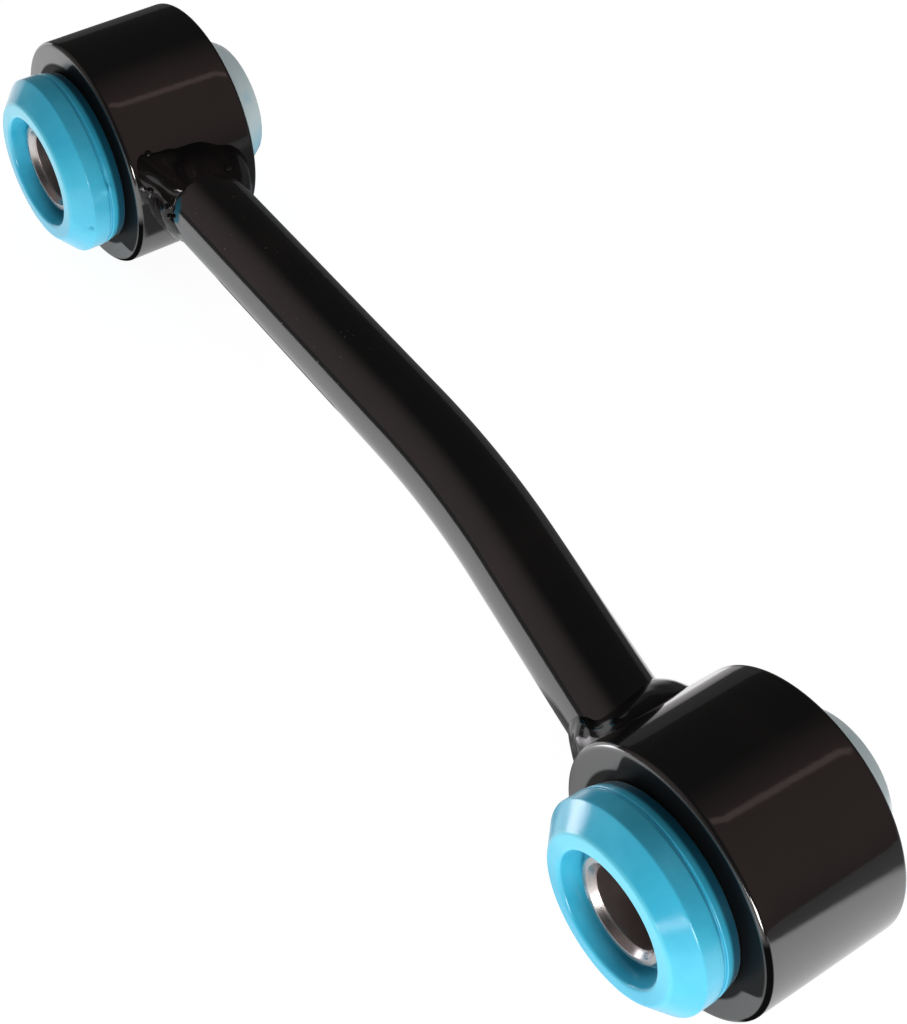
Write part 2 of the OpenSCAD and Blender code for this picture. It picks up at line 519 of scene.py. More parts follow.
@dataclass(frozen=True)
class EyePaint(GlossPaint):
    """The paint on an eye tube: duller on its ends, with painted shade beside the bush and a painted dark
    reflection on the low front edge.
    """

    end_roughness: float = 0.22
    end_skin: Span = (0.3 * MM, 0.05 * MM)
    # Painted shade: a flat near-black mixed over the gloss on the low part of the front edge, a painted dark
    # reflection
    shade_black: Colour = (0.003, 0.003, 0.003)
    dark_edge_w: float = 0.65 * MM
    dark_edge_soft: float = 0.1 * MM
    dark_edge_turn: float = math.radians(-33.0)
    dark_edge_reach: Span = (0.83, 0.90)
    # Painted shade on the front face beside the bush head: a ring of flat near-black, widest on one side
    seat_w: float = 1.1 * MM
    seat_widest: float = 3.9 * MM
    seat_soft: float = 0.5 * MM
    seat_ahead: float = math.radians(60.0)
    seat_reach: Span = (0.28, 0.50)
    seat_shade: float = 0.85

    def aside(self, x: Sock, z: Sock, spoke: Sock, turn: float) -> Sock:
        """How far a place on the tube lies towards an angle: the cosine of the angle between them."""
        return (x * math.cos(turn) + z * math.sin(turn)) / spoke

    def on_tube(
        self, name: str, centre: Vector, radius: float, half: float, seat_r: float
    ) -> bpy.types.Material:
        """The paint of one tube.

        Args:
            name: Name of the material.
            centre: Middle of the tube.
            radius: Outside radius of the tube.
            half: Half the tube's length.
            seat_r: Radius of the bush head that sits on the front face.

        Returns:
            The material.
        """
        tree = SurfaceTree(name)
        x, y, z = tree.place(tuple(centre)).parts()
        spoke = (x * x + z * z).sqrt()
        ahead = y * -1.0
        skin = [half - depth for depth in self.end_skin]
        gloss = self.shader(tree, y.size().step(*skin) * self.end_roughness)
        # Painted shade: the low part of the front edge turns flat near-black, a painted dark reflection
        dark_edge = self.aside(x, z, spoke, self.dark_edge_turn).step(*self.dark_edge_reach)
        for reach, edge in ((spoke, radius - self.dark_edge_w), (ahead, half - self.dark_edge_w)):
            dark_edge = dark_edge * reach.step(edge - self.dark_edge_soft, edge + self.dark_edge_soft)
        # Painted shadow of the bush head on the front face, widest on one side where the head's shadow falls
        shaded = self.aside(x, z, spoke, self.dark_edge_turn + self.seat_ahead).step(*self.seat_reach)
        seat_w = self.seat_w + shaded * (self.seat_widest - self.seat_w)
        beside_seat = 1.0 - (spoke - seat_w).step(seat_r - self.seat_soft, seat_r)
        painted_dark = dark_edge + beside_seat * ahead.step(skin[0], half) * self.seat_shade
        shade_black = tree.node("ShaderNodeBsdfDiffuse", {}, {"Color": (*self.shade_black, 1.0)})
        return tree.finish(tree.node("ShaderNodeMixShader", {}, {0: painted_dark, 1: gloss[0], 2: shade_black[0]}))


@dataclass(frozen=True)
class BushBlue:
    """Moulded light blue polyurethane: flow clouds and mould grain, with painted shade at the foot and low in
    the counterbore, and painted highlights on the nose ring and the upper side.
    """

    deep: Colour = (0.040, 0.44, 0.66)
    pale: Colour = (0.065, 0.53, 0.75)
    # Painted highlight: the paler blue of the nose ring, strongest at its top
    nose_lit: Colour = (0.13, 0.62, 0.80)
    # Painted highlight: a pale grey-blue laid in patches over the upper side
    painted_pale: Colour = (0.60, 0.70, 0.71)
    # Painted shade: the dark blue laid on the foot next to the eye's face and low in the counterbore
    shade_blue: Colour = (0.008, 0.085, 0.14)
    shade_h: float = 1.6 * MM
    shade_soft: float = 0.4 * MM
    # Painted shade on the lower side of the counterbore
    pocket_r: float = 9.6 * MM
    pocket_z: Span = (-9.0 * MM, -3.0 * MM)
    pocket_shade: float = 0.6
    nose_skin: float = 0.5 * MM
    nose_z: Span = (-9.0 * MM, 11.0 * MM)
    nose_light: float = 0.9
    pale_z: Span = (-7.0 * MM, 5.0 * MM)
    pale_cloud: Span = (0.05, 0.40)
    edge_soft: float = 0.2 * MM
    cloud_scale: float = 130.0
    cloud_rise: Span = (0.3, 0.7)
    cloud_roughness: float = 0.1
    grain_scale: float = 2200.0
    grain_depth: float = 0.010 * MM
    grain_roughness: float = 0.05
    wave_scale: float = 240.0
    wave_depth: float = 0.05 * MM
    roughness: float = 0.12
    index: float = 1.5
    sheen_roughness: float = 0.35

    def material(
        self, name: str, foot_at: Vector, top: float, sheen: float, pale_share: float
    ) -> bpy.types.Material:
        """The rubber of one half bush.

        Args:
            name: Name of the material.
            foot_at: Where the bush's axis meets the end face of the eye.
            top: Height of the head over that face.
            sheen: How pale it looks at its edges.
            pale_share: How much painted highlight pales its upper side.

        Returns:
            The material.
        """
        tree = SurfaceTree(name)
        place = tree.place(tuple(foot_at))
        x, y, z = place.parts()
        spoke = (x * x + z * z).sqrt()
        height = y.size()
        # Painted shade on the foot of the head, next to the eye's face
        shaded_foot = 1.0 - height.step(self.shade_h - self.shade_soft, self.shade_h + self.shade_soft)
        # Painted shade on the lower side of the counterbore
        in_bore = 1.0 - spoke.step(self.pocket_r - self.edge_soft, self.pocket_r + self.edge_soft)
        pocket = in_bore * (1.0 - z.step(*self.pocket_z))
        # Painted highlight on the nose ring, growing towards its top
        on_nose = height.step(top - self.nose_skin, top - self.edge_soft)
        nose = on_nose * (z.step(*self.nose_z) * self.nose_light)
        cloud = tree.noise(place, self.cloud_scale, 4.0)
        grain = tree.noise(place, self.grain_scale, 2.0)
        wave = tree.noise(place, self.wave_scale, 1.0)
        skin = wave + grain * (self.grain_depth / self.wave_depth)
        clean = tree.mix(cloud.step(*self.cloud_rise), self.deep, self.pale)
        # Painted highlight: the upper side paled in patches, and the nose ring lightened
        paled = z.step(*self.pale_z) * cloud.step(*self.pale_cloud) * pale_share
        painted_lit = tree.mix(paled, tree.mix(nose, clean, self.nose_lit), self.painted_pale)
        shader = tree.node("ShaderNodeBsdfPrincipled", {}, {
            "Base Color": tree.mix(shaded_foot.at_least(pocket * self.pocket_shade), painted_lit, self.shade_blue),
            "Roughness": self.roughness + cloud * self.cloud_roughness + grain * self.grain_roughness,
            "IOR": self.index,
            "Sheen Weight": sheen,
            "Sheen Roughness": self.sheen_roughness,
            "Normal": tree.bump(skin, self.wave_depth),
        })
        return tree.finish(shader)


@dataclass(frozen=True)
class TurnedSteel:
    """Bright turned steel with fine tool marks, and a darker oiled bore."""

    bright: Colour = (0.53, 0.50, 0.495)
    dull: Colour = (0.41, 0.38, 0.37)
    bore: Colour = (0.46, 0.39, 0.37)
    bore_skin: Span = (0.05 * MM, 0.3 * MM)
    bore_roughness: float = 0.12
    mark_pitch: float = 0.2 * MM
    mark_depth: float = 0.003 * MM
    mark_strength: float = 0.6
    stain_scale: float = 260.0
    stain_rise: Span = (0.35, 0.7)
    stain_roughness: float = 0.14
    roughness: float = 0.2

    def material(self, name: str, centre: Vector, bore_radius: float) -> bpy.types.Material:
        """The steel of one sleeve.

        Args:
            name: Name of the material.
            centre: Middle of the sleeve.
            bore_radius: Radius of its bore, in metres.

        Returns:
            The material.
        """
        tree = SurfaceTree(name)
        place = tree.place(tuple(centre))
        x, y, z = place.parts()
        radius = (x * x + z * z).sqrt()
        marks = ((radius + y) * (math.tau / self.mark_pitch)).sin() * 0.5 + 0.5
        stain = tree.noise(place, self.stain_scale, 4.0)
        inside = 1.0 - radius.step(*(bore_radius + depth for depth in self.bore_skin))
        face = tree.mix(stain.step(*self.stain_rise), self.bright, self.dull)
        shader = tree.node("ShaderNodeBsdfPrincipled", {}, {
            "Base Color": tree.mix(inside, face, self.bore),
            "Metallic": 1.0,
            "Roughness": self.roughness + stain * self.stain_roughness + inside * self.bore_roughness,
            "Normal": tree.bump(marks, self.mark_depth, self.mark_strength),
        })
        return tree.finish(shader)


@dataclass
class LinkSizes:
    """Sizes of the link, read from the frame and from how it is made, in metres."""

    upper: Vector
    lower: Vector
    eye_r: float
    eye_len: float
    bar_r: float
    land_r: float
    head_h: float
    lip_r: float
    back_h: float
    sleeve_r: float
    sleeve_len: float
    bore_r: float
    eye_wall: float = 6.7 * MM
    lower_leg: float = 51.0 * MM
    bend_r: float = 190.0 * MM
    bar_shift: float = 0.6 * MM

    @classmethod
    def from_frame(cls) -> "LinkSizes":
        """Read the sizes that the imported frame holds.

        Returns:
            The sizes of this link.
        """
        boxes = {node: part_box(node) for node in frame["nodes"]}
        spans = {node: high - low for node, (low, high) in boxes.items()}
        middles = {node: (high + low) / 2 for node, (low, high) in boxes.items()}
        bores = [m["dims"]["r_mm"] * MM for m in frame["record"]["mounts"] if m["kind"] == "bore"]
        eye_half = spans["upper_eye"].y / 2
        return cls(
            upper=middles["upper_eye"],
            lower=middles["lower_eye"],
            eye_r=spans["upper_eye"].z / 2,
            eye_len=spans["upper_eye"].y,
            bar_r=spans["link_bar"].z / 2,
            land_r=spans["upper_bush_front"].z / 2,
            head_h=middles["upper_eye"].y - eye_half - boxes["upper_bush_front"][0].y,
            lip_r=spans["upper_bush_back"].z / 2,
            back_h=boxes["upper_bush_back"][1].y - middles["upper_eye"].y - eye_half,
            sleeve_r=spans["upper_sleeve"].z / 2,
            sleeve_len=spans["upper_sleeve"].y,
            bore_r=bores[0],
        )

    @property
    def bend(self) -> float:
        """Angle between the bar's two legs, in radians."""
        return math.atan2(self.upper.y - self.lower.y, self.lower_leg)

    @property
    def eye_bore_r(self) -> float:
        """Radius of the eye's bore."""
        return self.eye_r - self.eye_wall


@dataclass
class LinkBar:
    """The bent round bar, coped at both ends to sit on the eyes."""

    sizes: LinkSizes
    paint: bpy.types.Material
    sink: float = 0.25 * MM
    cope_reach: float = 9.0 * MM
    stations: int = 161
    facets: int = 128

    def build(self) -> bpy.types.Object:
        """Sweep a circle along the straight, bent and straight stretches of the bar.

        Returns:
            The bar as a plain mesh object.
        """
        s = self.sizes
        tangent = s.bend_r * math.tan(s.bend / 2)
        corner_x = s.lower.x - s.eye_r - s.lower_leg
        start_x = s.upper.x + s.eye_r - self.sink
        first_leg = corner_x - tangent - start_x
        second_leg = s.lower_leg / math.cos(s.bend) - tangent + self.sink
        tree = ShapeTree("link_bar_coated", {
            "Bar radius": s.bar_r,
            "Eye radius": s.eye_r,
            "Bend radius": s.bend_r,
            "Bend angle": s.bend,
            "First leg": first_leg,
            "Second leg": second_leg,
        }, self.paint)
        angle = tree["Bend angle"]
        bend_run = tree["Bend radius"] * angle
        length = tree["First leg"] + bend_run + tree["Second leg"]
        line = tree.node("GeometryNodeCurvePrimitiveLine", {}, {"End": (1.0, 0.0, 0.0)})["Curve"]
        path = tree.node("GeometryNodeResampleCurve", {}, {"Curve": line, "Count": self.stations})["Curve"]
        run = tree.node("GeometryNodeSplineParameter", {}, {})["Factor"] * length
        turn = ((run - tree["First leg"]) / tree["Bend radius"]).at_least(0.0).at_most(angle)
        rest = (run - tree["First leg"] - bend_run).at_least(0.0)
        x = start_x + run.at_most(tree["First leg"]) + tree["Bend radius"] * turn.sin()
        y = s.upper.y - s.bar_shift - tree["Bend radius"] * (1.0 - turn.cos())
        axis_x = x + rest * angle.cos()
        axis = tree.vector(axis_x, y - rest * angle.sin(), s.upper.z)
        placed = tree.node("GeometryNodeSetPosition", {}, {"Geometry": path, "Position": axis})["Geometry"]
        flat = tree.node("GeometryNodeSetCurveNormal", {"mode": "Z_UP"}, {"Curve": placed})["Curve"]
        marked = flat
        for label, value in (("run", run), ("axis_x", axis_x)):
            marked = tree.node("GeometryNodeStoreNamedAttribute", {"domain": "POINT"}, {
                "Geometry": marked, "Name": label, "Value": value})["Geometry"]
        ring = tree.node("GeometryNodeCurvePrimitiveCircle", {}, {
            "Resolution": self.facets, "Radius": tree["Bar radius"]})["Curve"]
        swept = tree.node("GeometryNodeCurveToMesh", {}, {
            "Curve": marked, "Profile Curve": ring, "Fill Caps": True})["Mesh"]
        return tree.bake(self.cope(tree, swept, length))

    def cope(self, tree: ShapeTree, swept: Sock, length: Sock) -> Sock:
        """Slide both ends along the bar so that they follow the round of the eyes.

        Args:
            tree: The bar's tree.
            swept: The swept bar with its run and axis attributes.
            length: Length of the bar's axis.

        Returns:
            The coped geometry.
        """
        run, axis_x = (
            tree.node("GeometryNodeInputNamedAttribute", {"data_type": "FLOAT"}, {"Name": label})["Attribute"]
            for label in ("run", "axis_x")
        )
        x, _, z = tree.node("GeometryNodeInputPosition", {}, {})["Position"].parts()
        round_in = tree["Eye radius"] - (tree["Eye radius"] * tree["Eye radius"] - z * z).sqrt()
        at_upper = 1.0 - run.step(0.0, self.cope_reach)
        at_lower = 1.0 - (length - run).step(0.0, self.cope_reach)
        slide = (round_in - (x - axis_x)) * at_lower / tree["Bend angle"].cos()
        offset = tree.vector(
            slide * tree["Bend angle"].cos() - round_in * at_upper,
            slide * tree["Bend angle"].sin() * -1.0,
            0.0,
        )
        return tree.node("GeometryNodeSetPosition", {}, {"Geometry": swept, "Offset": offset})["Geometry"]

    def dress(self) -> None:
        """Build the bar and hand it over."""
        hand_over(self.build(), "link_bar", Body.LINK)


@dataclass
class EyeTube:
    """One thick-walled eye tube with broken edges."""

    sizes: LinkSizes
    name: str
    centre: Vector
    outer_edge: float = 0.8 * MM
    inner_edge: float = 0.35 * MM
    edge_steps: int = 8
    spacing: float = 2.0 * MM
    segments: int = 224

    def build(self) -> bpy.types.Object:
        """Turn the tube.

        Returns:
            The tube as a mesh object.
        """
        half = self.sizes.eye_len / 2
        outer, inner = self.sizes.eye_r, self.sizes.eye_bore_r
        corners = [
            Corner(inner, -half, self.inner_edge),
            Corner(outer, -half, self.outer_edge),
            Corner(outer, half, self.outer_edge),
            Corner(inner, half, self.inner_edge),
        ]
        section = rounded_section(corners, self.edge_steps, self.spacing)
        return turned(self.name + "_coated", section, self.centre, self.segments)

    def dress(self, paint: EyePaint) -> None:
        """Build the tube, paint it and hand it over.

        Args:
            paint: The paint of this tube.
        """
        piece = self.build()
        half = self.sizes.eye_len / 2
        coat = paint.on_tube(self.name + "_paint", self.centre, self.sizes.eye_r, half, self.sizes.land_r)
        piece.data.materials.append(coat)
        hand_over(piece, self.name, Body.LINK)


# Legs of the welds round the bar: angle in degrees and length in millimetres
UPPER_BAR_LEGS: Outline = (
    (0.0, 6.5), (51.0, 7.0), (83.0, 5.9), (118.0, 5.4), (140.0, 4.7),
    (160.0, 4.5), (185.0, 5.7), (205.0, 5.4), (270.0, 4.5), (360.0, 6.5),
)
UPPER_EYE_LEGS: Outline = (
    (0.0, 3.6), (22.0, 3.9), (38.0, 3.4), (61.0, 2.2), (88.0, 2.2),
    (111.0, 3.5), (126.0, 5.4), (134.0, 6.5), (141.0, 5.9), (152.0, 3.4),
    (160.0, 1.3), (200.0, 1.1), (250.0, 1.5), (300.0, 2.5), (360.0, 3.6),
)
LOWER_BAR_LEGS: Outline = (
    (0.0, 6.4), (15.0, 6.3), (34.0, 4.8), (52.0, 2.9), (75.0, 3.0),
    (115.0, 3.8), (147.0, 4.4), (270.0, 4.4), (320.0, 5.5), (360.0, 6.4),
)
LOWER_EYE_LEGS: Outline = (
    (0.0, 2.0), (40.0, 2.6), (65.0, 3.4), (120.0, 3.6),
    (180.0, 3.4), (250.0, 2.5), (300.0, 1.5), (360.0, 2.0),
)


@dataclass
class WeldBead:
    """The fillet weld round the bar: ripples, uneven toes, lumps and a few round drops of spatter."""

    sizes: LinkSizes
    name: str
    centre: Vector
    heading: Heading
    side: float
    tilt: float
    paint: bpy.types.Material
    bar_legs: Outline
    eye_legs: Outline
    crown: float
    ripple: float
    lump: float
    ragged: float
    drops: float
    lumps_at: float
    seed: int
    longest_leg: float = 10.0 * MM
    least_cosine: float = 0.1
    lump_scale: float = 2.2
    lump_reach: Span = (0.72, 0.95)
    lump_least: float = 0.12
    lump_middle: float = 0.45
    ragged_scales: Span = (1.9, 2.4)
    ripples: int = 18
    ripple_bow: float = 9.0
    sink: float = 0.35 * MM
    toe_sink: float = 0.06 * MM
    toe_sharpness: float = 8.0
    drop_radii: Span = (0.3 * MM, 0.75 * MM)
    drop_splits: int = 3
    merge_within: float = 0.004 * MM
    stations: int = 361
    points: int = 37
    top_share: float = 0.7

    def build(self) -> bpy.types.Object:
        """Wrap a grid round the saddle line where the bar meets the eye.

        Returns:
            The weld as a plain mesh object.
        """
        tree = ShapeTree(self.name + "_coated", {
            "Bar radius": self.sizes.bar_r,
            "Eye radius": self.sizes.eye_r,
            "Eye half length": self.sizes.eye_len / 2,
            "Longest leg": self.longest_leg,
            "Crown": self.crown,
            "Ripple": self.ripple,
            "Lump": self.lump,
            "Ragged": self.ragged,
            "Drops": self.drops,
            "Lumps at": math.radians(self.lumps_at),
        }, self.paint)
        grid = tree.node("GeometryNodeMeshGrid", {}, {
            "Size X": 1.0, "Size Y": 1.0, "Vertices X": self.stations, "Vertices Y": self.points})
        u, v, _ = grid["UV Map"].parts()
        turn = u * math.tau
        across, along = self.section(tree, turn, v)
        place = self.on_saddle(tree, turn, across, along)
        bent = tree.node("GeometryNodeSetPosition", {}, {"Geometry": grid["Mesh"], "Position": place})
        closed = tree.node("GeometryNodeMergeByDistance", {}, {
            "Geometry": bent["Geometry"], "Distance": self.merge_within})
        return tree.bake(self.spatter(tree, closed["Geometry"]))

    def section(self, tree: ShapeTree, turn: Sock, v: Sock) -> tuple[Sock, Sock]:
        """Distance from the bar's axis, and height above the eye's wall, round the bead's section.

        Args:
            tree: The weld's tree.
            turn: Angle round the bar.
            v: 0 to 1 round the section, over the bead and back under it.

        Returns:
            Both distances.
        """
        ring = tree.vector(turn.cos(), turn.sin(), float(self.seed))
        uneven = [
            1.0 + tree["Ragged"] * (tree.noise(ring, scale, 1.0) - 0.5)
            for scale in self.ragged_scales
        ]
        bar_leg = self.leg(tree, turn, self.bar_legs) * uneven[0]
        wanted = self.leg(tree, turn, self.eye_legs) * uneven[1]
        half = tree["Eye half length"] - abs(self.side)
        room = half * math.cos(self.tilt) / turn.cos().size().at_least(self.least_cosine) - tree["Bar radius"]
        eye_leg = wanted.at_most(room)
        t = (v / self.top_share).at_most(1.0)
        back = ((v - self.top_share) / (1.0 - self.top_share)).at_least(0.0)
        swell = (t * math.pi).sin()
        phase = turn * float(self.ripples) + (t - 0.5) * (t - 0.5) * self.ripple_bow
        swirl = tree.vector(turn.cos(), turn.sin(), t * 0.5 + float(self.seed))
        blob = tree.noise(swirl, self.lump_scale, 1.0)
        near_lumps = (turn - tree["Lumps at"]).cos().step(*self.lump_reach)
        lumpy = self.lump_least + near_lumps * (1.0 - self.lump_least)
        lump = tree["Lump"] * lumpy * (blob - self.lump_middle)
        height = tree["Crown"] + tree["Ripple"] * phase.cos() + lump
        rise = swell * height * math.sqrt(0.5)
        from_toe = back.at_most(1.0 - back) * self.toe_sharpness
        under = from_toe.at_most(1.0) * self.sink + self.toe_sink
        over = v.below(self.top_share)
        out = over * (eye_leg * t + rise - self.toe_sink)
        out += (1.0 - over) * (eye_leg * (1.0 - back * 2.0).at_least(0.0) - under)
        up = over * (bar_leg * (1.0 - t) + rise - self.toe_sink)
        up += (1.0 - over) * (bar_leg * (back * 2.0 - 1.0).at_least(0.0) - under)
        return tree["Bar radius"] + out, up

    def leg(self, tree: ShapeTree, turn: Sock, legs: Outline) -> Sock:
        """Length of one leg of the bead round the bar.

        Args:
            tree: The weld's tree.
            turn: Angle round the bar.
            legs: The leg in millimetres at some angles from 0 to 360 degrees.

        Returns:
            The length.
        """
        points = [(degrees / 360.0, length * MM / self.longest_leg) for degrees, length in legs]
        curve = tree.node("ShaderNodeFloatCurve", {"points": points}, {"Value": turn / math.tau})
        return curve["Value"] * tree["Longest leg"]

    def on_saddle(self, tree: ShapeTree, turn: Sock, across: Sock, along: Sock) -> Sock:
        """Place of a point of the bead.

        Args:
            tree: The weld's tree.
            turn: Angle round the bar.
            across: Distance from the bar's axis.
            along: Height above the eye's wall, along the bar.

        Returns:
            The place as a vector.
        """
        ct, st = math.cos(self.tilt), math.sin(self.tilt)
        z = across * turn.sin()
        eye_r = tree["Eye radius"]
        wall = (eye_r * eye_r - z * z).sqrt()
        lean = across * turn.cos()
        run = (wall - eye_r + lean * st) / ct + along
        x = eye_r + run * ct - lean * st
        y = self.side + run * st + lean * ct
        way = self.heading.value
        return tree.vector(self.centre.x + x * way, self.centre.y + y * way, self.centre.z + z)

    def spatter(self, tree: ShapeTree, bead: Sock) -> Sock:
        """Set round drops into the bead.

        Args:
            tree: The weld's tree.
            bead: The closed bead.

        Returns:
            Bead and drops.
        """
        dots = tree.node("GeometryNodeDistributePointsOnFaces", {}, {
            "Mesh": bead, "Density": tree["Drops"], "Seed": self.seed})["Points"]
        ball = tree.node("GeometryNodeMeshIcoSphere", {}, {
            "Radius": 1.0, "Subdivisions": self.drop_splits})["Mesh"]
        scale = tree.node("FunctionNodeRandomValue", {"data_type": "FLOAT"}, {
            2: self.drop_radii[0], 3: self.drop_radii[1], "Seed": self.seed + 1})[1]
        drops = tree.node("GeometryNodeInstanceOnPoints", {}, {
            "Points": dots, "Instance": ball, "Scale": scale})["Instances"]
        joined = tree.node("GeometryNodeJoinGeometry", {}, {})
        for part in (bead, drops):
            tree.graph.links.new(part.socket, joined.node.inputs["Geometry"])
        return joined["Geometry"]

    def dress(self) -> None:
        """Build the weld and hand it over."""
        hand_over(self.build(), self.name, Body.LINK)


@dataclass(frozen=True)
class MouldMark:
    """A small round dent or pad that the mould left on a bush head."""

    turn: float
    radius: float
    height: float
    reach: float
    depth: float

    def press(self, piece: bpy.types.Object, foot_at: Vector, facing: Facing) -> None:
        """Move the skin round the mark in or out.

        Args:
            piece: The bush half.
            foot_at: Where its axis meets the end face of the eye.
            facing: Which way the head looks.
        """
        turn = math.radians(self.turn)
        spoke = Vector((math.cos(turn), 0.0, math.sin(turn)))
        middle = foot_at + spoke * self.radius + Vector((0.0, facing.value * self.height, 0.0))
        near = [(v, (v.co - middle).length / self.reach) for v in piece.data.vertices]
        moves = [(v, v.normal * self.depth * (1.0 - far * far) ** 2) for v, far in near if far < 1.0]
        for vertex, move in moves:
            vertex.co -= move


@dataclass
class BushHalf:
    """One half bush: a shank in the eye and a head outside it."""

    sizes: LinkSizes
    name: str
    centre: Vector
    rubber: BushBlue
    marks: tuple[MouldMark, ...] = ()
    facing: Facing = Facing.FRONT
    sheen: float = 0.12
    # Share of painted highlight on the upper side
    pale_share: float = 0.0
    shank_lead: float = 0.8 * MM
    fit: float = 0.05 * MM
    middle_gap: float = 0.25 * MM
    edge_steps: int = 6
    spacing: float = 0.45 * MM
    segments: int = 360

    @property
    def top(self) -> float:
        """Height of the head over the eye's face."""
        return self.sizes.head_h if self.facing is Facing.FRONT else self.sizes.back_h

    @property
    def foot_at(self) -> Vector:
        """Where the bush's axis meets the end face of the eye."""
        return self.centre + Vector((0.0, self.facing.value * self.sizes.eye_len / 2, 0.0))

    @property
    def bore_r(self) -> float:
        """Radius of the bore that the sleeve runs in."""
        return self.sizes.sleeve_r + self.fit

    def shank(self) -> list[Corner]:
        """The section of the shank.

        Returns:
            Its corners, from its inner end to the eye's face.
        """
        deep = self.middle_gap - self.sizes.eye_len / 2
        outer = self.sizes.eye_bore_r - self.fit
        return [
            Corner(self.bore_r, deep, 0.15 * MM),
            Corner(outer - self.shank_lead, deep, 0.2 * MM),
            Corner(outer, deep + self.shank_lead, 0.2 * MM),
            Corner(outer, 0.0, 0.03 * MM),
        ]

    def head(self) -> list[Corner]:
        """Corners of the head, from the eye's face to the bore."""
        raise NotImplementedError

    def build(self) -> bpy.types.Object:
        """Turn the half and press its mould marks.

        Returns:
            The half bush as a mesh object.
        """
        way = self.facing.value
        section = rounded_section(self.shank() + self.head(), self.edge_steps, self.spacing)
        turned_section = [Vector((p.x, way * p.y)) for p in section]
        piece = turned(self.name + "_moulded", turned_section, self.foot_at, self.segments)
        for mark in self.marks:
            mark.press(piece, self.foot_at, self.facing)
        return piece

    def dress(self) -> None:
        """Build the half, give it its rubber and hand it over."""
        piece = self.build()
        rubber = self.rubber.material(self.name + "_rubber", self.foot_at, self.top, self.sheen, self.pale_share)
        piece.data.materials.append(rubber)
        hand_over(piece, self.name, Body.LINK)


@dataclass
class FlangedHalf(BushHalf):
    """The front half: foot, groove, land, cone, nose ring and counterbore."""

    head_flare: float = 0.7 * MM
    foot_h: float = 2.6 * MM
    groove_w: float = 0.6 * MM
    groove_depth: float = 0.45 * MM
    groove_draft: float = 0.1 * MM
    land_h: float = 3.0 * MM
    nose_r: float = 12.3 * MM
    mouth_r: float = 9.9 * MM
    floor_r: float = 9.2 * MM
    counterbore_depth: float = 4.0 * MM

    def head(self) -> list[Corner]:
        """The section of the flanged head.

        Returns:
            Its corners, from the eye's face to the bore.
        """
        land, top = self.sizes.land_r, self.top
        groove_top = self.foot_h + self.groove_w
        base, floor = land - self.groove_depth, top - self.counterbore_depth
        return [
            Corner(land - self.head_flare, 0.0, 0.3 * MM),
            Corner(land - self.groove_draft, self.foot_h, 0.2 * MM),
            Corner(base, self.foot_h + self.groove_draft, 0.08 * MM),
            Corner(base, groove_top - self.groove_draft, 0.08 * MM),
            Corner(land, groove_top, 0.2 * MM),
            Corner(land, groove_top + self.land_h, 0.5 * MM),
            Corner(self.nose_r, top, 0.9 * MM),
            Corner(self.mouth_r, top, 0.6 * MM),
            Corner(self.floor_r, floor, 0.3 * MM),
            Corner(self.bore_r, floor, 0.1 * MM),
        ]


@dataclass
class LippedHalf(BushHalf):
    """The back half: a low lip and a cone that let it be pushed through the eye."""

    facing: Facing = Facing.BACK
    sheen: float = 0.6
    # The back halves get a strong painted highlight on their upper side
    pale_share: float = 0.95
    lip_h: float = 1.4 * MM
    nose_w: float = 2.2 * MM

    def head(self) -> list[Corner]:
        """The section of the lipped head.

        Returns:
            Its corners, from the eye's face to the bore.
        """
        lip, top = self.sizes.lip_r, self.top
        return [
            Corner(lip, 0.0, 0.25 * MM),
            Corner(lip, self.lip_h, 0.4 * MM),
            Corner(self.bore_r + self.nose_w, top, 0.9 * MM),
            Corner(self.bore_r, top, 0.5 * MM),
        ]


@dataclass
class CrushSleeve:
    """One turned steel sleeve with broken edges."""

    sizes: LinkSizes
    name: str
    centre: Vector
    body: Body
    edge: float = 0.38 * MM
    lead: float = 0.8 * MM
    lead_depth: float = 1.1 * MM
    edge_steps: int = 6
    spacing: float = 0.8 * MM
    segments: int = 192

    def build(self) -> bpy.types.Object:
        """Turn the sleeve, with a chamfer at both ends that leads the bolt in.

        Returns:
            The sleeve as a mesh object.
        """
        half = self.sizes.sleeve_len / 2
        outer, inner = self.sizes.sleeve_r, self.sizes.bore_r
        corners = []
        for way in (-1.0, 1.0):
            end = [
                Corner(inner, way * (half - self.lead_depth), 0.25 * MM),
                Corner(inner + self.lead, way * half, 0.15 * MM),
                Corner(outer, way * half, self.edge),
            ]
            corners.extend(end if way < 0.0 else reversed(end))
        section = rounded_section(corners, self.edge_steps, self.spacing)
        return turned(self.name + "_turned", section, self.centre, self.segments)

    def dress(self, steel: TurnedSteel) -> None:
        """Build the sleeve, finish it in steel and hand it over.

        Args:
            steel: The steel of this sleeve.
        """
        piece = self.build()
        piece.data.materials.append(steel.material(self.name + "_steel", self.centre, self.sizes.bore_r))
        hand_over(piece, self.name, self.body)


@dataclass(frozen=True)
class Shade:
    """A soft dark patch of the floor, as the paint mirrors it."""

    x: Span
    y: Span
    soft: float
    depth: float

    def over(self, x: Sock, y: Sock) -> Sock:
        """What is left of the floor's light: 1 outside the patch and less inside it."""
        return 1.0 - x.within(*self.x, self.soft) * y.within(*self.y, self.soft) * self.depth


@dataclass(frozen=True)
class RoomPatch:
    """A dim soft patch of the dark room: where its middle lies, the cosine at its edge, and its colour."""

    towards: Point
    edge: float
    colour: Colour

    def over(self, tree: Tree, way: Sock) -> Sock:
        """How much a direction looks towards the patch.

        Args:
            tree: The room's tree.
            way: The direction.

        Returns:
            0 outside the patch, 1 in its middle.
        """
        settings = {"operation": "DOT_PRODUCT"}
        inputs = {0: way, 1: tuple(Vector(self.towards).normalized())}
        return tree.node("ShaderNodeVectorMath", settings, inputs)["Value"].step(self.edge, 1.0)


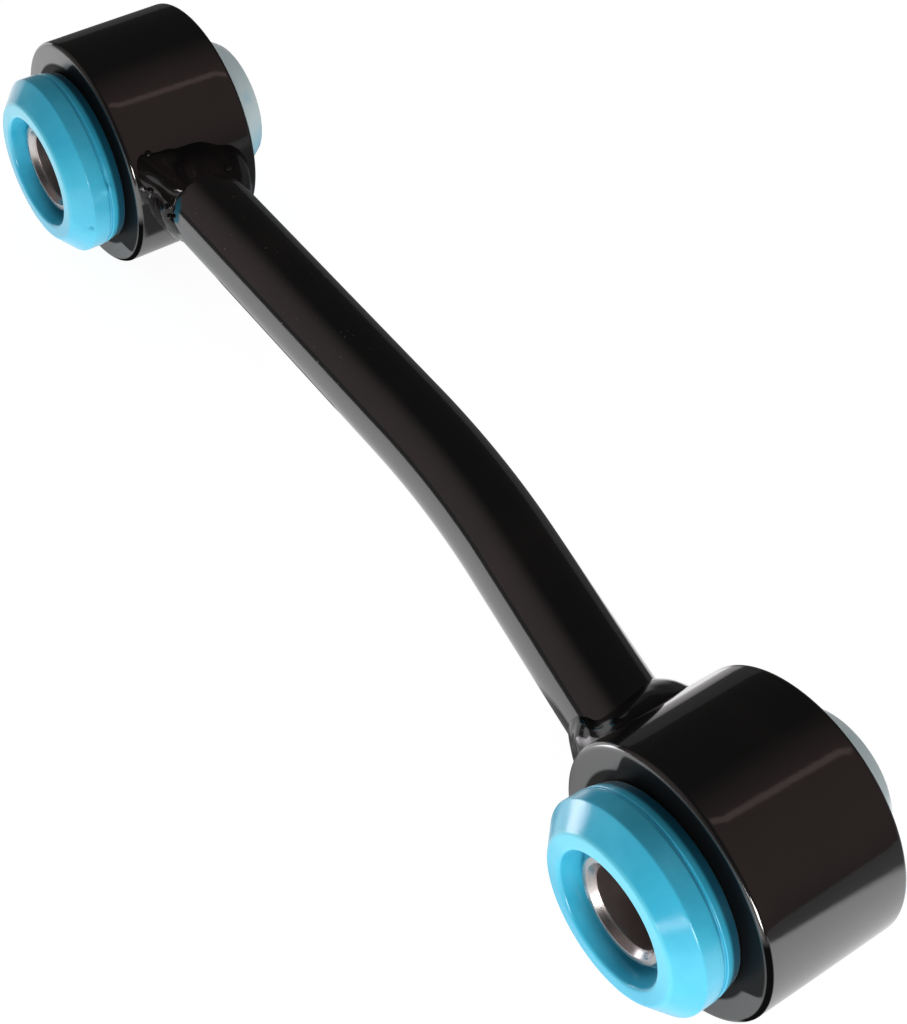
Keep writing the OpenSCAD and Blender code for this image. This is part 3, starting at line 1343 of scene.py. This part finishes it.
@dataclass(frozen=True)
class Lamp:
    """A soft rectangular lamp: place, aim and size in metres, how bright its face is, colour and beam."""

    name: str
    at: Point
    aim: Point
    size: Span
    radiance: float
    tint: Colour = (1.0, 1.0, 1.0)
    spread: float = math.pi

    def hang(self) -> None:
        """Add the lamp to the scene, where the camera doesn't see it."""
        half = self.spread / 2
        focus = math.tan(half) / (math.tan(half) - half) if self.spread < math.pi else 1.0
        light = bpy.data.lights.new(self.name, "AREA")
        light.shape = "RECTANGLE"
        light.size, light.size_y = self.size
        light.energy = self.radiance * math.pi * self.size[0] * self.size[1] / focus
        light.spread = self.spread
        light.color = self.tint
        lamp = bpy.data.objects.new(self.name, light)
        lamp.visible_camera = False
        lamp.location = self.at
        lamp.rotation_mode = "QUATERNION"
        lamp.rotation_quaternion = (Vector(self.aim) - Vector(self.at)).to_track_quat("-Z", "Y")
        bpy.context.scene.collection.objects.link(lamp)


@dataclass
class Studio:
    """White table, soft lamps, dark room and the camera."""

    sizes: LinkSizes
    table_front: float = -105.0 * MM
    table_back: float = 48.0 * MM
    table_back_left: float = 12.0 * MM
    table_step: Span = (100.0 * MM, 125.0 * MM)
    front_soft: float = 10.0 * MM
    back_soft: float = 12.0 * MM
    table_glow: float = 1.2
    covered_share: float = 0.3
    far_glow: float = 0.02
    far_glow_right: float = 0.10
    far_right: Span = (130.0 * MM, 210.0 * MM)
    seen_glow: float = 0.93
    floor_grey: Colour = (0.25, 0.25, 0.25)
    shades: tuple[Shade, ...] = (
        Shade((23.0 * MM, 62.0 * MM), (-6.0 * MM, 16.0 * MM), 1.5 * MM, 0.9),
        Shade((127.0 * MM, 143.0 * MM), (-27.0 * MM, 6.0 * MM), 3.0 * MM, 0.85),
        Shade((135.0 * MM, 205.0 * MM), (-50.0 * MM, -19.0 * MM), 6.0 * MM, 0.3),
    )
    table_bounce: float = 1.45
    shade_reach: float = 35.0 * MM
    shade_samples: int = 8
    floor_reach: float = 4.0
    room_light: float = 0.31
    room_dark: Colour = (0.035, 0.034, 0.033)
    room_patches: tuple[RoomPatch, ...] = (
        RoomPatch((0.60, 0.45, 0.66), 0.45, (0.17, 0.125, 0.12)),
        RoomPatch((-0.66, -0.72, 0.20), 0.55, (0.23, 0.19, 0.185)),
    )
    camera_at: Point = (255.274 * MM, -124.610 * MM, 215.567 * MM)
    camera_ahead: Point = (-0.52117, 0.41208, -0.74738)
    camera_up: Point = (-0.62738, 0.4087, 0.66284)
    lens: float = 67.5
    sensor: float = 36.0
    nearest: float = 10.0 * MM

    def floor(self) -> None:
        """A wide pale floor that glows like a light table near the link and keeps a faint shadow."""
        tree = SurfaceTree("pale_floor")
        rays = tree.node("ShaderNodeLightPath", {}, {})
        seen = rays["Is Camera Ray"].at_least(rays["Is Transmission Ray"])
        mirrored = rays["Is Glossy Ray"]
        x, y, _ = tree.place().parts()
        back = self.table_back_left + x.step(*self.table_step) * (self.table_back - self.table_back_left)
        table = y.step(self.table_front - self.front_soft, self.table_front + self.front_soft)
        table = table * (1.0 - (y - back).step(-self.back_soft, self.back_soft))
        settings = {"samples": self.shade_samples}
        open_sky = tree.node("ShaderNodeAmbientOcclusion", settings, {"Distance": self.shade_reach})["AO"]
        uncovered = self.covered_share + open_sky * (1.0 - self.covered_share)
        bounced = (1.0 - seen.at_least(mirrored)) * self.table_bounce
        far = self.far_glow + x.step(*self.far_right) * self.far_glow_right
        reflected = far + table * (self.table_glow - far) * uncovered
        for shade in self.shades:
            reflected = reflected * shade.over(x, y)
        strength = seen * self.seen_glow + mirrored * reflected + bounced
        glow = tree.node("ShaderNodeEmission", {}, {"Strength": strength})
        pale = tree.node("ShaderNodeBsdfDiffuse", {}, {"Color": (*self.floor_grey, 1.0)})
        both = tree.node("ShaderNodeAddShader", {}, {0: glow[0], 1: pale[0]})
        level = self.sizes.upper.z - self.sizes.eye_r
        mesh = bpy.data.meshes.new("floor")
        reach = self.floor_reach
        corners = [(i * reach, j * reach, level) for i, j in ((-1, -1), (1, -1), (1, 1), (-1, 1))]
        mesh.from_pydata(corners, [], [(0, 1, 2, 3)])
        mesh.materials.append(tree.finish(both))
        plane = bpy.data.objects.new("floor", mesh)
        bpy.context.scene.collection.objects.link(plane)

    def room(self) -> None:
        """A dark room with two dim warm patches, white to the camera."""
        world = bpy.data.worlds.new("room")
        world.use_nodes = True
        bpy.context.scene.world = world
        tree = Tree(world.node_tree)
        tree.graph.nodes.clear()
        rays = tree.node("ShaderNodeLightPath", {}, {})
        seen = rays["Is Camera Ray"].at_least(rays["Is Transmission Ray"])
        way = tree.node("ShaderNodeTexCoord", {}, {})["Generated"]
        mirrored: Union[Sock, Colour] = self.room_dark
        for patch in self.room_patches:
            mirrored = tree.mix(patch.over(tree, way), mirrored, patch.colour)
        lit = tree.mix(rays["Is Glossy Ray"], (self.room_light,) * 3, mirrored)
        colour = tree.mix(seen, lit, (1.0, 1.0, 1.0))
        sky = tree.node("ShaderNodeBackground", {}, {"Color": colour})
        tree.node("ShaderNodeOutputWorld", {}, {"Surface": sky[0]})

    def lamps(self) -> None:
        """Hang the small lamps whose reflections show on the eyes, the bushes and the welds."""
        middle = tuple((self.sizes.upper + self.sizes.lower) / 2)
        near = tuple(self.sizes.lower)
        cone_glint = (0.1815, -0.0277, 0.0115)
        eye_strip = (0.158, -0.0085, 0.0146)
        cone_sheen = (0.160, -0.0280, 0.0090)
        rosy, mauve = (1.0, 0.96, 0.96), (1.0, 0.96, 1.0)
        for lamp in (
            Lamp("ceiling_lamp", (0.24, 0.30, 0.645), middle, (0.05, 0.30), 0.25, (1.0, 0.72, 0.72)),
            Lamp("window", (0.40, -0.19, 0.045), near, (0.10, 0.08), 18.0, (1.0, 0.98, 0.96)),
            Lamp("bench_lamp", (0.270, -0.195, 0.022), cone_glint, (0.040, 0.014), 9.0),
            Lamp("low_card", (0.1186, 0.0129, -0.0117), eye_strip, (0.028, 0.024), 0.95, rosy, 0.68),
            Lamp("front_card", (0.108, -0.048, -0.008), cone_sheen, (0.026, 0.024), 8.0, mauve, 0.7),
        ):
            lamp.hang()

    def camera(self) -> None:
        """The camera at the photograph's place."""
        data = bpy.data.cameras.new("camera")
        data.lens = self.lens
        data.sensor_width = self.sensor
        data.clip_start = self.nearest
        ahead, up = Vector(self.camera_ahead).normalized(), Vector(self.camera_up)
        right = ahead.cross(up).normalized()
        turn = Matrix((right, right.cross(ahead), -ahead)).transposed()
        seat = bpy.data.objects.new("camera", data)
        seat.matrix_world = Matrix.Translation(self.camera_at) @ turn.to_4x4()
        bpy.context.scene.collection.objects.link(seat)
        bpy.context.scene.camera = seat

    def dress(self) -> None:
        """Set up floor, room, lamps, camera and a plain view."""
        self.floor()
        self.room()
        self.lamps()
        self.camera()
        bpy.context.scene.view_settings.view_transform = "Standard"


def main() -> None:
    """Build every sub-assembly in order and set up the studio."""
    logging.basicConfig(level=logging.INFO, format="%(name)s %(message)s")
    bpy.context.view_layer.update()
    sizes = LinkSizes.from_frame()
    paint = GlossPaint().material("gloss_black_paint")
    weld_paint = GlossPaint(roughness=0.08, index=1.4).material("black_weld_paint")
    rubber = BushBlue()
    LinkBar(sizes, paint).dress()
    EyeTube(sizes, "upper_eye", sizes.upper).dress(EyePaint())
    EyeTube(sizes, "lower_eye", sizes.lower).dress(EyePaint(dark_edge_turn=math.radians(2.0)))
    WeldBead(
        sizes, "upper_weld", sizes.upper, Heading.TO_LOWER, -sizes.bar_shift, 0.0,
        weld_paint, UPPER_BAR_LEGS, UPPER_EYE_LEGS, crown=0.4 * MM, ripple=0.03 * MM, lump=3.2 * MM,
        ragged=0.2, drops=22000.0, lumps_at=136.0, seed=4,
    ).dress()
    WeldBead(
        sizes, "lower_weld", sizes.lower, Heading.TO_UPPER, sizes.bar_shift, -sizes.bend,
        weld_paint, LOWER_BAR_LEGS, LOWER_EYE_LEGS, crown=0.4 * MM, ripple=0.02 * MM, lump=1.6 * MM,
        ragged=0.1, drops=2500.0, lumps_at=18.0, seed=9,
    ).dress()
    pit = MouldMark(turn=-12.5, radius=15.0 * MM, height=6.6 * MM, reach=0.75 * MM, depth=0.6 * MM)
    pad = MouldMark(turn=14.5, radius=15.5 * MM, height=3.0 * MM, reach=1.3 * MM, depth=-0.3 * MM)
    FlangedHalf(sizes, "upper_bush_front", sizes.upper, rubber, (pit, pad)).dress()
    FlangedHalf(sizes, "lower_bush_front", sizes.lower, rubber).dress()
    LippedHalf(sizes, "upper_bush_back", sizes.upper, rubber).dress()
    LippedHalf(sizes, "lower_bush_back", sizes.lower, rubber).dress()
    steel = TurnedSteel()
    CrushSleeve(sizes, "upper_sleeve", sizes.upper, Body.UPPER_PIVOT).dress(steel)
    CrushSleeve(sizes, "lower_sleeve", sizes.lower, Body.LOWER_PIVOT).dress(steel)
    Studio(sizes).dress()


if __name__ == "__main__":
    main()
